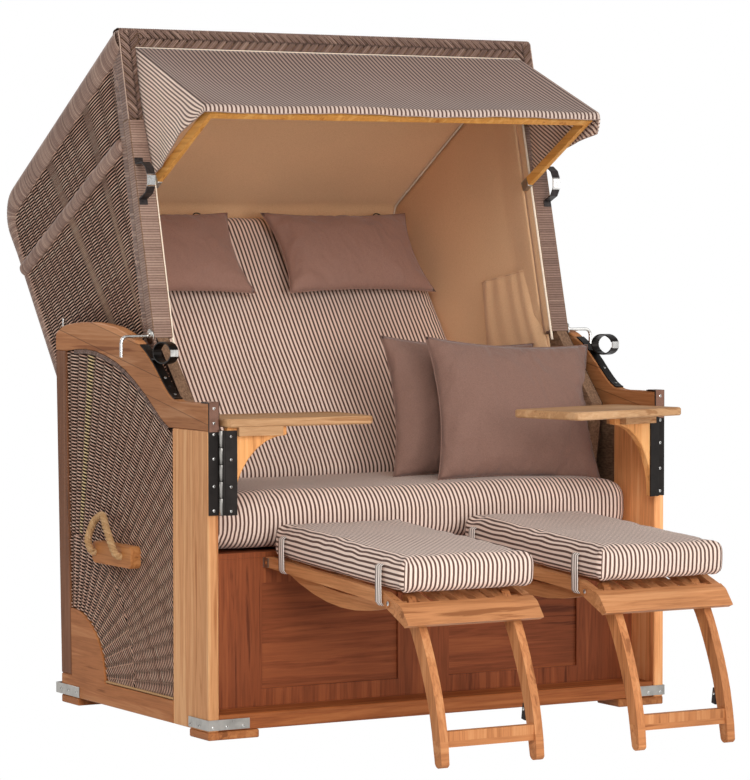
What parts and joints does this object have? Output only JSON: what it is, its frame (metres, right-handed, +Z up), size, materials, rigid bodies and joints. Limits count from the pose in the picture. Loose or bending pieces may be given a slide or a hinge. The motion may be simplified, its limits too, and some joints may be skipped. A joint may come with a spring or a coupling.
{
  "type": "hooded beach chair",
  "caption": "Two-seat hooded beach chair: wooden base with woven arched sides, reclining woven hood with awning, swing tables and pull-out footrests",
  "frame": {"origin": "on the floor, at the middle of the bounding box's footprint", "axes": "+Z up, +Y towards the back of the chair, +X to the right as seen from the front"},
  "size_m": [1.2998, 1.738, 1.57],
  "materials": {
    "wood": "oiled",
    "wood_pale": "oiled",
    "weave": "matte woven strand",
    "stripe": "woven stripe",
    "taupe": "plain weave",
    "canvas": "striped canvas",
    "steel": "brushed",
    "dark_steel": "satin",
    "rope": "twisted"
  },
  "bodies": {
    "base": {"front_post_left": "wood", "rear_post_left": "wood", "side_rail_left": "wood", "arch_rail_left": "wood", "foot_front_left": "wood", "foot_rear_left": "wood", "seat_bearer_left": "wood_pale", "handle_cleat_left": "wood_pale", "side_weave_left": "weave", "arm_band_left": "dark_steel", "post_hinge_leaf_left": "dark_steel", "corner_bracket_left": "steel", "rope_handle_left": "rope", "front_post_right": "wood", "rear_post_right": "wood", "side_rail_right": "wood", "arch_rail_right": "wood", "foot_front_right": "wood", "foot_rear_right": "wood", "seat_bearer_right": "wood_pale", "handle_cleat_right": "wood_pale", "side_weave_right": "weave", "arm_band_right": "dark_steel", "post_hinge_leaf_right": "dark_steel", "corner_bracket_right": "steel", "rope_handle_right": "rope", "front_rail": "wood", "front_panel": "wood", "rear_panel": "wood", "seat_deck": "wood_pale", "footrest_hinge_rail": "steel", "hood_axle": "steel", "seat_cushion": "stripe", "scatter_pillow_front": "taupe", "scatter_pillow_rear": "taupe"},
    "hood": {"hood_side_left": "weave", "hood_side_right": "weave", "hood_shell": "weave", "hood_rim": "weave", "hood_handle_left": "steel", "hood_handle_right": "steel", "back_cushion": "stripe", "head_pillow_left": "taupe", "head_pillow_right": "taupe", "awning_cloth": "canvas"},
    "awning": {"awning_frame": "wood_pale"},
    "lever_left": {"lock_lever_left": "steel"},
    "table_left": {"table_hinge_left": "dark_steel", "table_bracket_left": "wood_pale", "table_top_left": "wood_pale"},
    "footrest_left": {"footrest_frame_left": "wood_pale", "footrest_cushion_left": "stripe"},
    "leg_left": {"footrest_leg_left": "wood_pale"},
    "lever_right": {"lock_lever_right": "steel"},
    "table_right": {"table_hinge_right": "dark_steel", "table_bracket_right": "wood_pale", "table_top_right": "wood_pale"},
    "footrest_right": {"footrest_frame_right": "wood_pale", "footrest_cushion_right": "stripe"},
    "leg_right": {"footrest_leg_right": "wood_pale"}
  },
  "joints": [
    {"name": "hood_recline", "type": "hinge", "parent": "base", "child": "hood", "pos_m": [0, 0.33911, 0.335], "axis": [-1, 0, 0], "range_deg": [0, 30]},
    {"name": "awning_fold", "type": "hinge", "parent": "hood", "child": "awning", "pos_m": [0, 0.17287, 1.22103], "axis": [-1, 0, 0], "range_deg": [0, 60], "deforming": ["awning_cloth"]},
    {"name": "lock_lever_turn_left", "type": "hinge", "parent": "hood", "child": "lever_left", "pos_m": [-0.558, 0.08813, 0.87112], "axis": [1, 0, 0], "range_deg": [-90, 90]},
    {"name": "table_swing_left", "type": "hinge", "parent": "base", "child": "table_left", "pos_m": [-0.571, -0.27889, 0.491], "axis": [0, 0, 1], "range_deg": [-86, 4]},
    {"name": "footrest_lift_left", "type": "hinge", "parent": "base", "child": "footrest_left", "pos_m": [-0.2455, -0.19289, 0.3745], "axis": [-1, 0, 0], "range_deg": [0, 8]},
    {"name": "leg_fold_left", "type": "hinge", "parent": "footrest_left", "child": "leg_left", "pos_m": [-0.2455, -0.71989, 0.33002], "axis": [1, 0, 0], "range_deg": [0, 75]},
    {"name": "lock_lever_turn_right", "type": "hinge", "parent": "hood", "child": "lever_right", "pos_m": [0.558, 0.08813, 0.87112], "axis": [1, 0, 0], "range_deg": [-90, 90]},
    {"name": "table_swing_right", "type": "hinge", "parent": "base", "child": "table_right", "pos_m": [0.571, -0.27889, 0.491], "axis": [0, 0, 1], "range_deg": [-14, 76]},
    {"name": "footrest_lift_right", "type": "hinge", "parent": "base", "child": "footrest_right", "pos_m": [0.2455, -0.19289, 0.3745], "axis": [-1, 0, 0], "range_deg": [0, 8]},
    {"name": "leg_fold_right", "type": "hinge", "parent": "footrest_right", "child": "leg_right", "pos_m": [0.2455, -0.71989, 0.33002], "axis": [1, 0, 0], "range_deg": [0, 75]}
  ]
}
